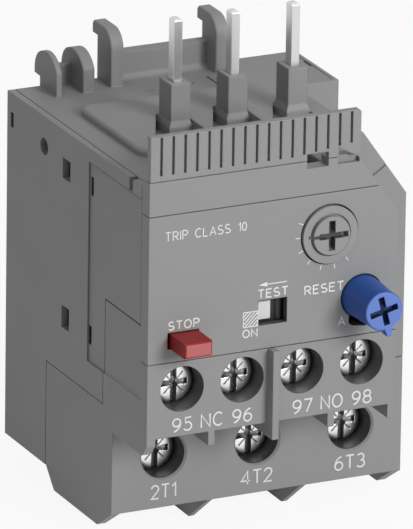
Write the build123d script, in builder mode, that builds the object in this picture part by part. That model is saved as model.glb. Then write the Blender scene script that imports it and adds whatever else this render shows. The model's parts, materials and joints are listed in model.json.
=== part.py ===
from build123d import *
import os
from math import hypot, pi

# Three-pole thermal overload relay that plugs onto the load side of a contactor.
# Frame: millimetres, +Z up, +X to the right seen from the front, +Y towards the back.
# The origin is the middle of the whole part's box, at the height of its lowest point.
# Inside this file a place is written as x from the left side, d behind the front
# face and z above the base; across() and behind() turn them into the frame.

# Overall body
width = 45.0            # housing, and pitch of devices side by side
depth = 47.25           # front face to back face
strip_w = 6.75          # set-back strip right of the front block
front_width = width - strip_w
step_back = 11.2        # load terminal face behind the front face
rear_step = 33.1        # where the rear part begins, which keeps its top corner
top_z = 55.9            # top face of the housing
corner_drop = 9.8       # top right corner cut, down the right side
corner_slope = 1.42     # drop over run of the slanted corner
front_corner_z = top_z - 8.15  # slanted corner of the front block, on its right side
wall = 1.5              # housing walls
seam = 0.12             # gap between mouldings that lie side by side
fit = 0.06              # radial clearance of a shaft in its hole
slide_fit = 0.12        # clearance on each side of a sliding piece

# Heights of the mouldings' edges
leg_base_z = 1.5        # feet of the outer walls
face_base_z = 4.55      # lower edge of the load terminal face
rear_base_z = 4.375     # underside of the rear part
side_seam_z = 19.95     # top of the terminal block at its sides
strip_seam_z = 21.6     # the same seam on the set-back strip at the right
aux_base_z = 19.46      # lower edge of the auxiliary terminal face
main_seam_z = 30.4      # top of the terminal block at the front
ear_z = 35.46           # top of the block's ear on the left side
label_z = top_z - 3.79  # label strip, lower edge
grip_z = top_z + 1.1    # ribbed grip plate, lower edge
grip_h = 6.62

# Depths of the mouldings
plate_t = 2.3           # front plate and label strip
grip_t = 1.05
cover_t = 1.05          # left side cover
block_shoulder = 14.34  # back of the auxiliary terminal block
block_back = 33.27      # back of the load terminal block

# Load terminals, poles from left to right
load_x = 7.98           # outer poles from the sides
load_pitch = width / 2 - load_x
load_z = 12.18
load_recess = 3.0       # screw head below the terminal face
load_shank_r = 1.9
load_travel = 3.6       # of the cage
load_cage = (load_pitch - 5.72, 10.0, 6.6)  # width, depth, height
load_cage_t = 1.2
load_gap = 5.0          # room for the cable behind the load bar, cage open
load_bar_w = load_cage[0] - 2 * load_cage_t - 1.2
foot_wall_t = 1.35      # outer walls at the foot
leg_t = 0.8             # partitions between the cable entries

# Auxiliary terminals
aux_x = 5.325           # outer terminals from the front block's sides
aux_pitch = (front_width - 2 * aux_x) / 3
aux_z = 26.37
aux_recess = 2.8
aux_shank_r = 1.5
aux_travel = 1.4
aux_cage = (aux_pitch - 2.0, 6.1, 5.2)
aux_cage_t = 0.8
aux_bar_w = aux_cage[0] - 2 * aux_cage_t - 1.2
rib_t = 0.97
rib_base_z = 17.41
centre_rib_x = aux_x + 1.5 * aux_pitch - 0.625
centre_rib_proud = 1.65

# Screws, both sizes
hole_r = 3.3
head_r = 3.0
head_t = 1.5
head_play = 0.2         # room behind a screw's head
bus_t = 1.2             # load bars
aux_bus_t = 0.7

# Contact blades and the moulded posts around them
blade_x = tuple(width - r for r in (29.73, 20.89, 11.59))
blade_d = 24.5
blade_size = (1.25, 1.75)
blade_reach = 9.2       # out of the post
blade_foot_z = top_z - 9.9
boss_size = (3.0, 3.8)
boss_h = 6.55           # above the top face
boss_flare = 0.33       # of the post's square foot on each side
platform_h = 1.05
platform_box = (4.9, width - 16.8, 13.0, 34.6)  # left, right, front, back
well_depth = 1.05       # below the top face
well_reach = 6.2        # in front of a post's middle
well_flare = 4.0        # how far the left side of a well widens to the front

# Hooks at the back of the top face
tall_hook_x = (13.8, width - 14.85)
tall_hook_t = 2.0
tall_hook_front = depth - 4.8
tall_hook_h = 8.25      # above the top face
tall_hook_round = 2.8
small_hook_front = depth - 5.55
small_hook_x = (5.0, 9.15)
small_hook_t = (0.85, 1.75)
nose_reach = 1.85       # hook noses past the back face

# Controls on the front
dial_x, dial_z = front_width - 10.65, label_z - 6.16
dial_r = 4.2
dial_gap = 0.22         # around the dial in its seat
dial_proud = 0.4
hub_r = 2.8
hub_proud = 0.45
dial_shaft_r = 1.5
knob_x, knob_z = front_width - 5.45, 36.15
knob_r = 2.85
knob_base_r = 3.15
knob_proud = 7.0
knob_sink = 2.0
knob_turn = 14.0        # cross and pointer at rest, anticlockwise from upright
stem_r = 1.9
flange_r = 3.75         # keeps the stem behind the front plate
flange_t = 1.0
spigot_r = 1.15
reset_travel = 2.5
spring_length = 5.4
spring_wire = 0.5
stop_x, stop_z = 5.5, 33.64
stop_hole = (4.6, 2.44)
stop_gap = 0.2          # room left of the button
stop_proud = 4.9
stop_travel = 2.4
window_x = (16.83, 21.25)
window_z = (33.93, 37.64)
window_wall = 1.2       # front plate in front of the test slider
test_travel = 1.8

# Tripping mechanism
bimetal_t = 0.8
bimetal_w = 4.9
bimetal_foot_z = 25.0
heater_z = (29.0, 43.0)
heater_turns = 7
strap_z = (21.8, 23.0)  # cross run of the load bars
lead_t = 1.1
finger_play = 0.15      # between a bimetal and its finger on the trip bar
bar_d = (18.4, 20.4)
bar_z = (25.2, 27.4)
trip_travel = 2.0
lever_play = 0.1        # between trip bar and trip lever
lever_arm_w = 1.2
lever_z = 33.5
pin_r = 0.8
carrier_travel = 1.5
nc_z = (40.0, 42.0)
no_z = (30.8, 31.9)

# The whole part's box is centred on the frame from front of knob to hook noses
front = (knob_proud - depth - nose_reach) / 2
high = top_z + 28  # safely above every moulding, for cuts that run out of them


def across(x):
    """X of a place that is x mm from the left side."""
    return x - width / 2


def behind(d):
    """Y of a place that is d mm behind the front face."""
    return front + d


def block(x, d, z, mode=Mode.ADD):
    """A rectangular block, or with another mode a cut, between pairs of limits."""
    middle = (across(sum(x) / 2), behind(sum(d) / 2), sum(z) / 2)
    with Locations(middle):
        Box(x[1] - x[0], d[1] - d[0], z[1] - z[0], mode=mode)


def rod(x, z, r, d, mode=Mode.ADD):
    """A round rod, or a hole, along Y between two depths."""
    with Locations(Location((across(x), behind(sum(d) / 2), z), (90, 0, 0))):
        Cylinder(r, d[1] - d[0], mode=mode)


def side_points(points):
    """Depth and height pairs as points of a sketch on a YZ plane."""
    return [(behind(d), z) for d, z in points]


def front_points(points):
    """Left distance and height pairs as points of a sketch on an XZ plane."""
    return [(across(x), z) for x, z in points]


def side_prism(points, x, mode=Mode.ADD):
    """A side outline run across the part between two x."""
    with BuildPart(mode=Mode.PRIVATE) as prism:
        with BuildSketch(Plane.YZ.offset(across(x[0]))):
            with BuildLine():
                Polyline(*side_points(points), close=True)
            make_face()
        extrude(amount=x[1] - x[0])
    add(prism.part, mode=mode)


def front_prism(points, d, mode=Mode.ADD):
    """A front outline run backwards between two depths."""
    with BuildPart(mode=Mode.PRIVATE) as prism:
        with BuildSketch(Plane.XZ.offset(-behind(d[0]))):
            with BuildLine():
                Polyline(*front_points(points), close=True)
            make_face()
        extrude(amount=-(d[1] - d[0]))
    add(prism.part, mode=mode)


def corner_points(side_x, low_z, inset=0.0):
    """Triangle outside the slanted corner that starts on side_x at low_z."""
    shift = inset * hypot(1, corner_slope) / corner_slope
    reach = 1.0
    low = (side_x + reach, low_z - corner_slope * (reach + shift))
    peak = (side_x - shift - (high - low_z) / corner_slope, high)
    return [low, (side_x + reach, high), peak]


def finish(piece, name):
    """Label a piece and write its file."""
    piece.part.label = name
    export_step(piece.part, f"parts/{name}.step")


os.makedirs("parts", exist_ok=True)

poles = [load_x + load_pitch * k for k in range(3)]
aux_poles = [aux_x + aux_pitch * k for k in range(4)]
cover_x = cover_t + seam
grip_top_z = grip_z + grip_h
platform_z = top_z + platform_h
boss_top_z = top_z + boss_h
blade_tip_z = boss_top_z + blade_reach
tall_hook_top = top_z + tall_hook_h
corner_z = top_z - corner_drop
load_head_d = step_back + load_recess
load_cage_d = load_head_d + head_t + head_play + load_travel
load_bar_d = load_cage_d + load_cage_t + 1.4
load_cage_inside = load_bar_d + bus_t + load_gap - load_cage_d - load_cage_t
load_near = load_head_d + head_t + head_play
load_far = load_cage_d + load_cage[1] + 0.8
load_roof = load_z + load_cage[2] / 2 + 1.9
load_half = load_cage[0] / 2 + 0.3
aux_cage_d = aux_recess + head_t + head_play + aux_travel
aux_bar_d = aux_cage_d + aux_cage_t + 0.1
aux_cage_inside = aux_cage[1] - aux_cage_t - 0.9
aux_near = aux_recess + head_t + head_play
aux_far = aux_cage_d + aux_cage[1] + 0.5
aux_roof = aux_z + aux_cage[2] / 2 + 0.23
aux_half = aux_cage[0] / 2 + 0.3
notch_x = (front_width - 14.3, front_width - 11.0)
recess_x = (front_width - 9.5, front_width - 7.25)
lever_x = width - wall - trip_travel - lever_arm_w / 2 - 1.9
flange_back = plate_t + 0.1 + flange_t
bracket_front = flange_back + spring_length + 0.2


# Terminal block: load terminals below, auxiliary terminals in front above them
with BuildPart() as terminal_block:
    block((0, width), (step_back, block_back), (face_base_z, side_seam_z))
    block((front_width, width), (step_back, block_back), (side_seam_z, strip_seam_z))
    block((0, front_width), (0, block_shoulder), (aux_base_z, main_seam_z))
    block((0, cover_t), (plate_t + seam, block_shoulder), (main_seam_z, ear_z))
    foot = [
        (step_back, face_base_z),
        (step_back + 4.7, leg_base_z),
        (block_back - 2.9, leg_base_z),
        (block_back - 0.15, rear_base_z),
        (block_back - 0.15, face_base_z + 1),
        (step_back, face_base_z + 1),
    ]
    side_prism(foot, (0, foot_wall_t))
    side_prism(foot, (width - foot_wall_t, width))
    leg = [
        (step_back, face_base_z),
        (step_back + 6.0, 0),
        (block_back - 4.0, 0),
        (block_back - 0.15, face_base_z),
        (block_back - 0.15, face_base_z + 1),
        (step_back, face_base_z + 1),
    ]
    for x in poles[:2]:
        middle = x + load_pitch / 2
        side_prism(leg, (middle - leg_t / 2, middle + leg_t / 2))
    # Partitions under the auxiliary terminals, with the proud one in the middle
    for x in (aux_x + aux_pitch / 2, aux_x + aux_pitch * 2.5):
        block((x - rib_t / 2, x + rib_t / 2), (0, step_back), (rib_base_z, aux_base_z))
    block(
        (centre_rib_x, centre_rib_x + rib_t),
        (-centre_rib_proud, step_back),
        (rib_base_z, aux_base_z),
    )
    block(
        (centre_rib_x, centre_rib_x + rib_t),
        (-centre_rib_proud, 0),
        (aux_base_z, main_seam_z),
    )
    block((front_width - 1.13, front_width), (0, step_back), (rib_base_z, aux_base_z))
    side_prism(
        [
            (0, aux_base_z),
            (0, rib_base_z + 1.0),
            (1.5, rib_base_z - 0.6),
            (step_back, rib_base_z - 0.6),
            (step_back, aux_base_z),
        ],
        (0, foot_wall_t),
    )
    # Chambers for the cages, open downwards for the cables, and the screw holes
    for x in poles:
        room = (x - load_half, x + load_half)
        slot = (x - load_bar_w / 2 - slide_fit, x + load_bar_w / 2 + slide_fit)
        slot_d = (load_bar_d - slide_fit, load_bar_d + bus_t + slide_fit)
        block(room, (load_near, load_far), (face_base_z - 1, load_roof), Mode.SUBTRACT)
        rod(x, load_z, hole_r, (step_back - 1, load_near + 0.5), Mode.SUBTRACT)
        block(slot, slot_d, (load_roof - 1, side_seam_z + 2), Mode.SUBTRACT)
    for x in aux_poles:
        room = (x - aux_half, x + aux_half)
        slot = (x - aux_bar_w / 2 - slide_fit, x + aux_bar_w / 2 + slide_fit)
        slot_d = (aux_bar_d - slide_fit, aux_bar_d + aux_bus_t + slide_fit)
        block(room, (aux_near, step_back), (aux_base_z - 1, aux_roof), Mode.SUBTRACT)
        block(room, (step_back, aux_far), (side_seam_z, aux_roof), Mode.SUBTRACT)
        rod(x, aux_z, hole_r, (-1, aux_near + 0.5), Mode.SUBTRACT)
        block(slot, slot_d, (aux_roof - 1, main_seam_z + 1), Mode.SUBTRACT)
    # Lead-in rings of the load screw holes
    mouths = (
        terminal_block.edges()
        .filter_by(GeomType.CIRCLE)
        .filter_by(lambda e: abs(e.center().Y - behind(step_back)) < 0.01)
    )
    chamfer(mouths, length=0.35)
    # Guides for the trip bar, standing on the roof of the block
    for x in (4.4, blade_x[2] - 2.61):
        block((x - 1.0, x + 1.0), (bar_d[0] - 1.2, bar_d[1] + 1.2), (side_seam_z, bar_z[0] - 0.1))
        for d in (bar_d[0] - 1.2, bar_d[1] + slide_fit):
            block((x - 1.0, x + 1.0), (d, d + 1.2 - slide_fit), (bar_z[0] - 0.1, bar_z[0] + 1.2))
    # Bracket that guides the reset stem and backs its spring
    bracket_top = knob_z + stem_r + 2.6
    bracket_d = (bracket_front, bracket_front + 1.4)
    bracket_right = front_width - wall - 0.2
    block((bracket_right - 1.3, bracket_right), bracket_d, (main_seam_z, bracket_top))
    block((knob_x - 3.9, bracket_right), bracket_d, (33.3, bracket_top))
    rod(knob_x, knob_z, stem_r + fit, (bracket_d[0] - 1, bracket_d[1] + 1), Mode.SUBTRACT)
    # The inset panel of the left side runs down onto the ear
    block((-1, 0.25), (plate_t, block_shoulder + 1), (24.58, ear_z + 1), Mode.SUBTRACT)
finish(terminal_block, "terminal_block")


def housing_outline(inset):
    """Side outline of the housing left of the front block's right side."""
    floor = 0 if inset else seam
    return [
        (plate_t + floor, main_seam_z + floor),
        (plate_t + floor, top_z - inset),
        (depth - inset, top_z - inset),
        (depth - inset, rear_base_z + inset),
        (block_back + seam + inset, rear_base_z + inset),
        (block_back + seam + inset, side_seam_z + floor),
        (block_shoulder + floor, side_seam_z + floor),
        (block_shoulder + floor, main_seam_z + floor),
    ]


def strip_outline(inset):
    """Side outline of the housing right of the front block's right side."""
    floor = 0 if inset else seam
    return [
        (step_back + inset, strip_seam_z + floor),
        (step_back + inset, top_z - inset),
        (depth - inset, top_z - inset),
        (depth - inset, rear_base_z + inset),
        (block_back + seam + inset, rear_base_z + inset),
        (block_back + seam + inset, strip_seam_z + floor),
    ]


def housing_form(inset):
    """Outer form of the housing, or with an inset the room inside its walls."""
    with BuildPart() as form:
        side_prism(housing_outline(inset), (cover_x, front_width))
        if inset:
            thick = (front_width - inset, front_width + 1)
            block(thick, (0, step_back + inset), (0, high), Mode.SUBTRACT)
        side_prism(strip_outline(inset), (front_width, width - inset))
        front_prism(corner_points(width, corner_z, inset), (-1, rear_step + inset), Mode.SUBTRACT)
        front_prism(
            corner_points(front_width, front_corner_z, inset),
            (-1, step_back + inset),
            Mode.SUBTRACT,
        )
    return form.part


def tall_hook(x):
    """Hook that stands at the back edge, with its nose over the back face."""
    centre = (tall_hook_front + tall_hook_round, tall_hook_top - tall_hook_round)
    with BuildPart(mode=Mode.PRIVATE) as hook:
        with BuildSketch(Plane.YZ.offset(across(x))):
            with BuildLine():
                root = (behind(tall_hook_front), top_z - 0.5)
                knee = (behind(tall_hook_front), centre[1])
                brow = (behind(centre[0]), tall_hook_top)
                Line(root, knee)
                RadiusArc(knee, brow, tall_hook_round)
                Polyline(
                    brow,
                    (behind(depth + 1.3), tall_hook_top),
                    (behind(depth + nose_reach - 0.2), tall_hook_top - 0.4),
                    (behind(depth + nose_reach - 0.2), tall_hook_top - 1.9),
                    (behind(depth), tall_hook_top - 1.9),
                    (behind(depth), top_z - 0.5),
                    root,
                )
            make_face()
        extrude(amount=tall_hook_t)
        soft = hook.faces().sort_by(Axis.X)[-1].edges() + hook.faces().sort_by(Axis.X)[0].edges()
        fillet(soft.filter_by(lambda e: e.center().Z > top_z), radius=0.25)
    return hook.part


def small_hook(x, thickness):
    """Rounded hook of the pair at the left, lower than the tall ones."""
    dome_z = top_z + 3.45
    with BuildPart(mode=Mode.PRIVATE) as hook:
        with BuildSketch(Plane.YZ.offset(across(x))):
            with BuildLine():
                root = (behind(small_hook_front), top_z - 0.5)
                shoulder = (behind(small_hook_front), dome_z)
                crown = (behind(small_hook_front + 4.7), dome_z + 2.0)
                nose = (behind(depth + nose_reach), dome_z - 1.1)
                Line(root, shoulder)
                RadiusArc(shoulder, crown, 4.2)
                RadiusArc(crown, nose, 3.2)
                Polyline(
                    nose,
                    (behind(depth + nose_reach), dome_z - 1.9),
                    (behind(depth), dome_z - 2.0),
                    (behind(depth), top_z - 0.5),
                    root,
                )
            make_face()
        extrude(amount=thickness)
    return hook.part


# Housing: a shell that is open at the left, at the front and over the terminal block
with BuildPart() as housing:
    add(housing_form(0.0))
    add(housing_form(wall), mode=Mode.SUBTRACT)
    # Low platform on the top face, with a soft step around it
    left, right, near, far = platform_box
    with BuildPart(mode=Mode.PRIVATE) as platform:
        block((left, right), (near, far), (top_z - 0.3, platform_z))
        fillet(platform.edges().filter_by(Axis.Z), radius=2.0)
        fillet(platform.faces().sort_by(Axis.Z)[-1].edges(), radius=0.6)
    add(platform.part)
    # Wells in front of the blade posts, then the posts with flared square feet
    foot_size = (boss_size[0] + 2 * boss_flare, boss_size[1] + 2 * boss_flare)
    well = [
        (-foot_size[0] / 2, foot_size[1] / 2),
        (foot_size[0] / 2, foot_size[1] / 2),
        (foot_size[0] / 2, -well_reach),
        (-foot_size[0] / 2 - well_flare, -well_reach),
    ]
    for x in blade_x:
        with BuildSketch(Plane.XY.offset(top_z - well_depth)):
            with BuildLine():
                Polyline(*[(across(x + a), behind(blade_d + b)) for a, b in well], close=True)
            make_face()
        extrude(amount=high - top_z, mode=Mode.SUBTRACT)
    for x in blade_x:
        with BuildPart(mode=Mode.PRIVATE) as post:
            with BuildSketch(Plane.XY.offset(top_z + 0.3)):
                with Locations((across(x), behind(blade_d))):
                    Rectangle(*foot_size)
            with BuildSketch(Plane.XY.offset(top_z + 1.2)):
                with Locations((across(x), behind(blade_d))):
                    Rectangle(*boss_size)
            loft()
            block(
                (x - foot_size[0] / 2, x + foot_size[0] / 2),
                (blade_d - foot_size[1] / 2, blade_d + foot_size[1] / 2),
                (top_z - wall, top_z + 0.3),
            )
            with BuildSketch(Plane.XY.offset(top_z + 1.2)):
                with Locations((across(x), behind(blade_d))):
                    Rectangle(*boss_size)
            extrude(amount=boss_top_z - top_z - 1.2)
        add(post.part)
        block(
            (x - blade_size[0] / 2 - fit, x + blade_size[0] / 2 + fit),
            (blade_d - blade_size[1] / 2 - fit, blade_d + blade_size[1] / 2 + fit),
            (top_z - wall - 1, high),
            Mode.SUBTRACT,
        )
    # Hooks, the web between the small pair and the plate between the tall pair
    for x in tall_hook_x:
        add(tall_hook(x))
    for x, thickness in zip(small_hook_x, small_hook_t):
        add(small_hook(x, thickness))
    block(
        (small_hook_x[0] + small_hook_t[0] - 0.2, small_hook_x[1] + 0.2),
        (depth - 1.2, depth),
        (top_z - 0.5, top_z + 3.1),
    )
    block(
        (tall_hook_x[0] + tall_hook_t - 0.2, tall_hook_x[1] + 0.2),
        (depth - 1.9, depth),
        (top_z - 0.5, top_z + 4.0),
    )
    foot_line = (
        housing.edges()
        .filter_by(Axis.X)
        .filter_by(lambda e: abs(e.center().Y - behind(depth - 1.9)) < 0.01)
        .filter_by(lambda e: abs(e.center().Z - top_z) < 0.01)
    )
    fillet(foot_line, radius=0.9)
    # Short slots in the floor in front of the plate
    for x, d in ((17.6, depth - 8.05), (24.2, depth - 7.65)):
        block((x, x + 1.3), (d, d + 0.5), (top_z - 0.8, high), Mode.SUBTRACT)
    hook_slot = (tall_hook_x[1] - 1.85, tall_hook_x[1] - 1.55)
    block(hook_slot, (depth - 9.45, depth - 5.25), (top_z - 0.8, top_z + 0.1), Mode.SUBTRACT)
    # Fine line and short slot along the top right edge
    edge_line = (width - 0.75, width - 0.6)
    block(edge_line, (rear_step + 0.9, depth - 0.8), (top_z - 0.3, high), Mode.SUBTRACT)
    block((width - 1.05, width - 0.6), (40.2, 42.8), (top_z - 0.9, high), Mode.SUBTRACT)
    # Seam across the slanted corner
    line = [(5.6, 2.85), (2.7, 4.8), (2.8, 4.95), (5.7, 3.0)]
    line = [(width - x, corner_z + z) for x, z in line]
    front_prism(line, (step_back - 0.1, step_back + 0.35), Mode.SUBTRACT)
    # Openings in the top wall behind the latch notch and the slanted recess
    block(notch_x, (plate_t, 7.0), (top_z - wall - 1, high), Mode.SUBTRACT)
    block(recess_x, (plate_t, 4.5), (top_z - wall - 1, high), Mode.SUBTRACT)
    # Pivot pin of the trip lever, on a boss of the right wall
    boss_d = (bar_d[0] - 2.8, bar_d[0] - 0.6)
    block((lever_x - 1.4, width - wall + 0.3), boss_d, (lever_z - 1.4, lever_z + 1.4))
    rod(lever_x, lever_z, pin_r, (boss_d[1] - 0.2, bar_d[1] + 1.0))
finish(housing, "housing")

# Side cover: clips over the open left side, with its latch windows
with BuildPart() as side_cover:
    side_prism(
        [
            (plate_t + seam, ear_z + seam),
            (plate_t + seam, top_z),
            (depth, top_z),
            (depth, rear_base_z),
            (block_back + seam, rear_base_z),
            (block_back + seam, side_seam_z + seam),
            (block_shoulder + seam, side_seam_z + seam),
            (block_shoulder + seam, ear_z + seam),
        ],
        (0, cover_t),
    )
    for d, z in (
        ((45.1, 46.1), (top_z - 5.0, top_z - 2.8)),
        ((25.9, 28.5), (top_z - 7.0, top_z - 4.0)),
        ((25.9, 28.4), (main_seam_z - 3.6, main_seam_z - 0.3)),
        ((18.7, 19.4), (top_z - 6.7, top_z - 4.0)),
        ((18.9, 19.7), (main_seam_z - 3.2, main_seam_z - 0.5)),
        ((5.4, 6.6), (top_z - 1.8, top_z + 1)),
    ):
        block((-1, cover_t + 1), d, z, Mode.SUBTRACT)
    with BuildSketch(Plane.YZ.offset(across(-1))):
        with Locations((behind(34.75), top_z - 4.4)):
            Circle(1.27)
    extrude(amount=cover_t + 2, mode=Mode.SUBTRACT)
    # Inset panel at the front of the side
    block((-1, 0.25), (plate_t, 19.83), (side_seam_z + 4.63, top_z - 2.01), Mode.SUBTRACT)
finish(side_cover, "side_cover")

# Front plate with the openings of the controls
with BuildPart() as front_plate:
    front_prism(
        [
            (0, main_seam_z + seam),
            (front_width, main_seam_z + seam),
            (front_width, label_z - seam),
            (0, label_z - seam),
        ],
        (0, plate_t),
    )
    front_prism(corner_points(front_width, front_corner_z), (-1, plate_t + 1), Mode.SUBTRACT)
    rod(dial_x, dial_z, dial_r + dial_gap, (-1, 1.25), Mode.SUBTRACT)
    rod(dial_x, dial_z, dial_shaft_r + fit, (0, plate_t + 1), Mode.SUBTRACT)
    rod(knob_x, knob_z, knob_base_r + 0.1, (-1, plate_t + 1), Mode.SUBTRACT)
    mark = [
        (knob_x - 1.98, knob_z - 2.4),
        (knob_x - 1.98, knob_z - 3.8),
        (knob_x - 1.35, knob_z - 4.18),
        (knob_x + 0.7, knob_z - 4.5),
        (knob_x + 0.7, knob_z - 2.4),
    ]
    front_prism(mark, (-1, plate_t + 1), Mode.SUBTRACT)
    block(
        (stop_x - stop_hole[0] / 2 - stop_gap, stop_x + stop_hole[0] / 2),
        (-1, plate_t + 1),
        (stop_z - stop_hole[1] / 2, stop_z + stop_hole[1] / 2),
        Mode.SUBTRACT,
    )
    block(window_x, (-1, plate_t + 1), window_z, Mode.SUBTRACT)
    # Room for the test slider behind its window, between two rails
    slider_z = (window_z[0] - 0.9, window_z[1] + 0.9)
    slider_d = (window_wall + 0.5, window_wall + 1.5)
    room_x = (window_x[0] - 3.2, window_x[1] + 2.4)
    room_z = (slider_z[0] - slide_fit, slider_z[1] + slide_fit)
    block(room_x, (window_wall, plate_t + 1), room_z, Mode.SUBTRACT)
    for edge, side in zip(room_z, (-1, 1)):
        rail = sorted((edge, edge + side * 0.8))
        lip = sorted((edge - side * 0.6, edge + side * 0.8))
        block(room_x, (plate_t, slider_d[1] + slide_fit), rail)
        block(room_x, (slider_d[1] + slide_fit, slider_d[1] + slide_fit + 0.8), lip)
finish(front_plate, "front_plate")

# Label strip above it, with the latch notch and the slanted recess at the right
with BuildPart() as label_strip:
    front_prism(
        [(0, label_z), (front_width, label_z), (front_width, grip_z), (0, grip_z)],
        (0, plate_t),
    )
    front_prism(corner_points(front_width, front_corner_z), (-1, plate_t + 1), Mode.SUBTRACT)
    block(notch_x, (-1, plate_t + 1), (top_z + 0.05, high), Mode.SUBTRACT)
    slant = [
        (recess_x[0], top_z + 0.1),
        (recess_x[1] + 1.0, top_z + 0.1),
        (recess_x[1], high),
        (recess_x[0], high),
    ]
    front_prism(slant, (-1, 0.8), Mode.SUBTRACT)
finish(label_strip, "label_strip")

# Ribbed grip plate that stands above the top face
groove_count = 17
groove_pitch = (front_width - 9.26) / (groove_count - 1)
groove_w = 0.38
with BuildPart() as grip_plate:
    grip_right = front_width - 6.08
    front_prism(
        [
            (0.1, grip_z + seam),
            (recess_x[0], grip_z + seam),
            (recess_x[0], grip_z + 1.5),
            (recess_x[1] + 0.2, grip_z + seam),
            (grip_right, grip_z + seam),
            (grip_right, grip_top_z - 0.3),
            (grip_right - 0.3, grip_top_z),
            (0.1, grip_top_z),
        ],
        (0, grip_t),
    )
    block(notch_x, (-1, grip_t + 1), (grip_z - 1, grip_z + 1.07), Mode.SUBTRACT)
    for k in range(groove_count):
        x = 1.73 + groove_pitch * k
        low = grip_z + 0.9 + max(0.0, x - notch_x[0] + 2.0) * 0.11
        block((x - groove_w / 2, x + groove_w / 2), (-1, 0.6), (low, grip_top_z - 0.15), Mode.SUBTRACT)
finish(grip_plate, "grip_plate")


def screw(x, z, head_d, shank_r, tip_d):
    """Terminal screw: combination head with slot and cross, and its shank."""
    with BuildPart() as piece:
        with BuildSketch(Plane.XZ.offset(-behind(head_d + head_t))):
            with Locations((across(x), z)):
                Circle(head_r)
        extrude(amount=head_t)
        chamfer(piece.faces().sort_by(Axis.Y)[0].edges(), length=0.35)
        rod(x, z, shank_r, (head_d + head_t - 0.1, tip_d))
        chamfer(piece.faces().sort_by(Axis.Y)[-1].edges(), length=0.35)
        block((x - 0.45, x + 0.45), (head_d - 1, head_d + 0.7), (z - 4, z + 4), Mode.SUBTRACT)
        block((x - 1.9, x + 1.9), (head_d - 1, head_d + 0.95), (z - 0.4, z + 0.4), Mode.SUBTRACT)
    return piece


def cage(x, z, front_d, size, sheet, inside, shank_r):
    """Clamp cage: a metal loop open up and down, threaded in its front wall."""
    with BuildPart() as piece:
        with BuildSketch(Plane.XY.offset(z - size[2] / 2)):
            with Locations((across(x), behind(front_d + size[1] / 2))):
                RectangleRounded(size[0], size[1], sheet)
            with Locations((across(x), behind(front_d + sheet + inside / 2))):
                Rectangle(size[0] - 2 * sheet, inside, mode=Mode.SUBTRACT)
        extrude(amount=size[2])
        rod(x, z, shank_r + fit, (front_d - 1, front_d + sheet + 1), Mode.SUBTRACT)
    return piece


for number, x in enumerate(poles, 1):
    load_screw = screw(x, load_z, load_head_d, load_shank_r, load_bar_d - 0.05)
    load_clamp = cage(
        x, load_z, load_cage_d, load_cage, load_cage_t, load_cage_inside, load_shank_r
    )
    finish(load_screw, f"load_screw_{number}")
    finish(load_clamp, f"load_clamp_{number}")
for number, x in enumerate(aux_poles, 1):
    aux_screw = screw(x, aux_z, aux_recess, aux_shank_r, aux_bar_d - 0.05)
    aux_clamp = cage(x, aux_z, aux_cage_d, aux_cage, aux_cage_t, aux_cage_inside, aux_shank_r)
    finish(aux_screw, f"aux_screw_{number}")
    finish(aux_clamp, f"aux_clamp_{number}")

# One pole from top to bottom: contact blade, bimetal, heater and load bar
for number, (x, terminal_x) in enumerate(zip(blade_x, poles), 1):
    strip_x = x + blade_size[0] / 2
    with BuildPart() as contact_blade:
        block(
            (x - blade_size[0] / 2, x + blade_size[0] / 2),
            (blade_d - blade_size[1] / 2, blade_d + blade_size[1] / 2),
            (blade_foot_z, blade_tip_z),
        )
        chamfer(contact_blade.faces().sort_by(Axis.Z)[-1].edges(), length=0.3)
    finish(contact_blade, f"contact_blade_{number}")

    with BuildPart() as bimetal:
        block(
            (strip_x, strip_x + bimetal_t),
            (blade_d - bimetal_w / 2, blade_d + bimetal_w / 2),
            (bimetal_foot_z, blade_foot_z + 3.5),
        )
    finish(bimetal, f"bimetal_{number}")

    with BuildPart() as heater:
        strip_middle = strip_x + bimetal_t / 2
        turn = (heater_z[1] - heater_z[0]) / heater_turns
        half_x, half_d = bimetal_t / 2 + 0.1, bimetal_w / 2 + 0.1
        block(
            (strip_middle - half_x - 0.5, strip_middle + half_x + 0.5),
            (blade_d - half_d - 0.5, blade_d + half_d + 0.5),
            heater_z,
        )
        for k in range(heater_turns):
            low = heater_z[0] + turn * (k + 0.15)
            with BuildSketch(Plane.XY.offset(low)):
                with Locations((across(strip_middle), behind(blade_d))):
                    RectangleRounded(2 * half_x + 2.2, 2 * half_d + 2.2, 0.9)
            extrude(amount=turn * 0.7)
        block(
            (strip_middle - half_x, strip_middle + half_x),
            (blade_d - half_d, blade_d + half_d),
            (heater_z[0] - 1, heater_z[1] + 1),
            Mode.SUBTRACT,
        )
        block(
            (strip_middle - half_x - lead_t, strip_middle - half_x),
            (load_bar_d, load_bar_d + bus_t),
            (strap_z[1], heater_z[0] + 1.0),
        )
        block(
            (strip_middle - half_x - lead_t, strip_middle - half_x),
            (min(load_bar_d, blade_d), max(load_bar_d + bus_t, blade_d)),
            (heater_z[0], heater_z[0] + 1.0),
        )
    finish(heater, f"heater_{number}")

    with BuildPart() as load_bar:
        strap = (load_bar_d, load_bar_d + bus_t)
        sides = (terminal_x - load_bar_w / 2, terminal_x + load_bar_w / 2)
        block(sides, strap, (load_z - load_cage[2] / 2 - 0.7, strap_z[1]))
        lead_x = (strip_middle - half_x - lead_t, strip_middle - half_x)
        block((min(sides + lead_x), max(sides + lead_x)), strap, strap_z)
    finish(load_bar, f"load_bar_{number}")

# Trip bar: pushed to the right by the bimetals, with one finger at each of them
with BuildPart() as trip_bar:
    block((3.0, lever_x - lever_arm_w / 2 - lever_play), bar_d, bar_z)
    for x in blade_x:
        face = x + blade_size[0] / 2 + bimetal_t + finger_play
        block((face, face + 1.2), (bar_d[1] - 0.2, blade_d + 1.0), (bar_z[0] + 0.3, bar_z[1] - 0.3))
finish(trip_bar, "trip_bar")

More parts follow.
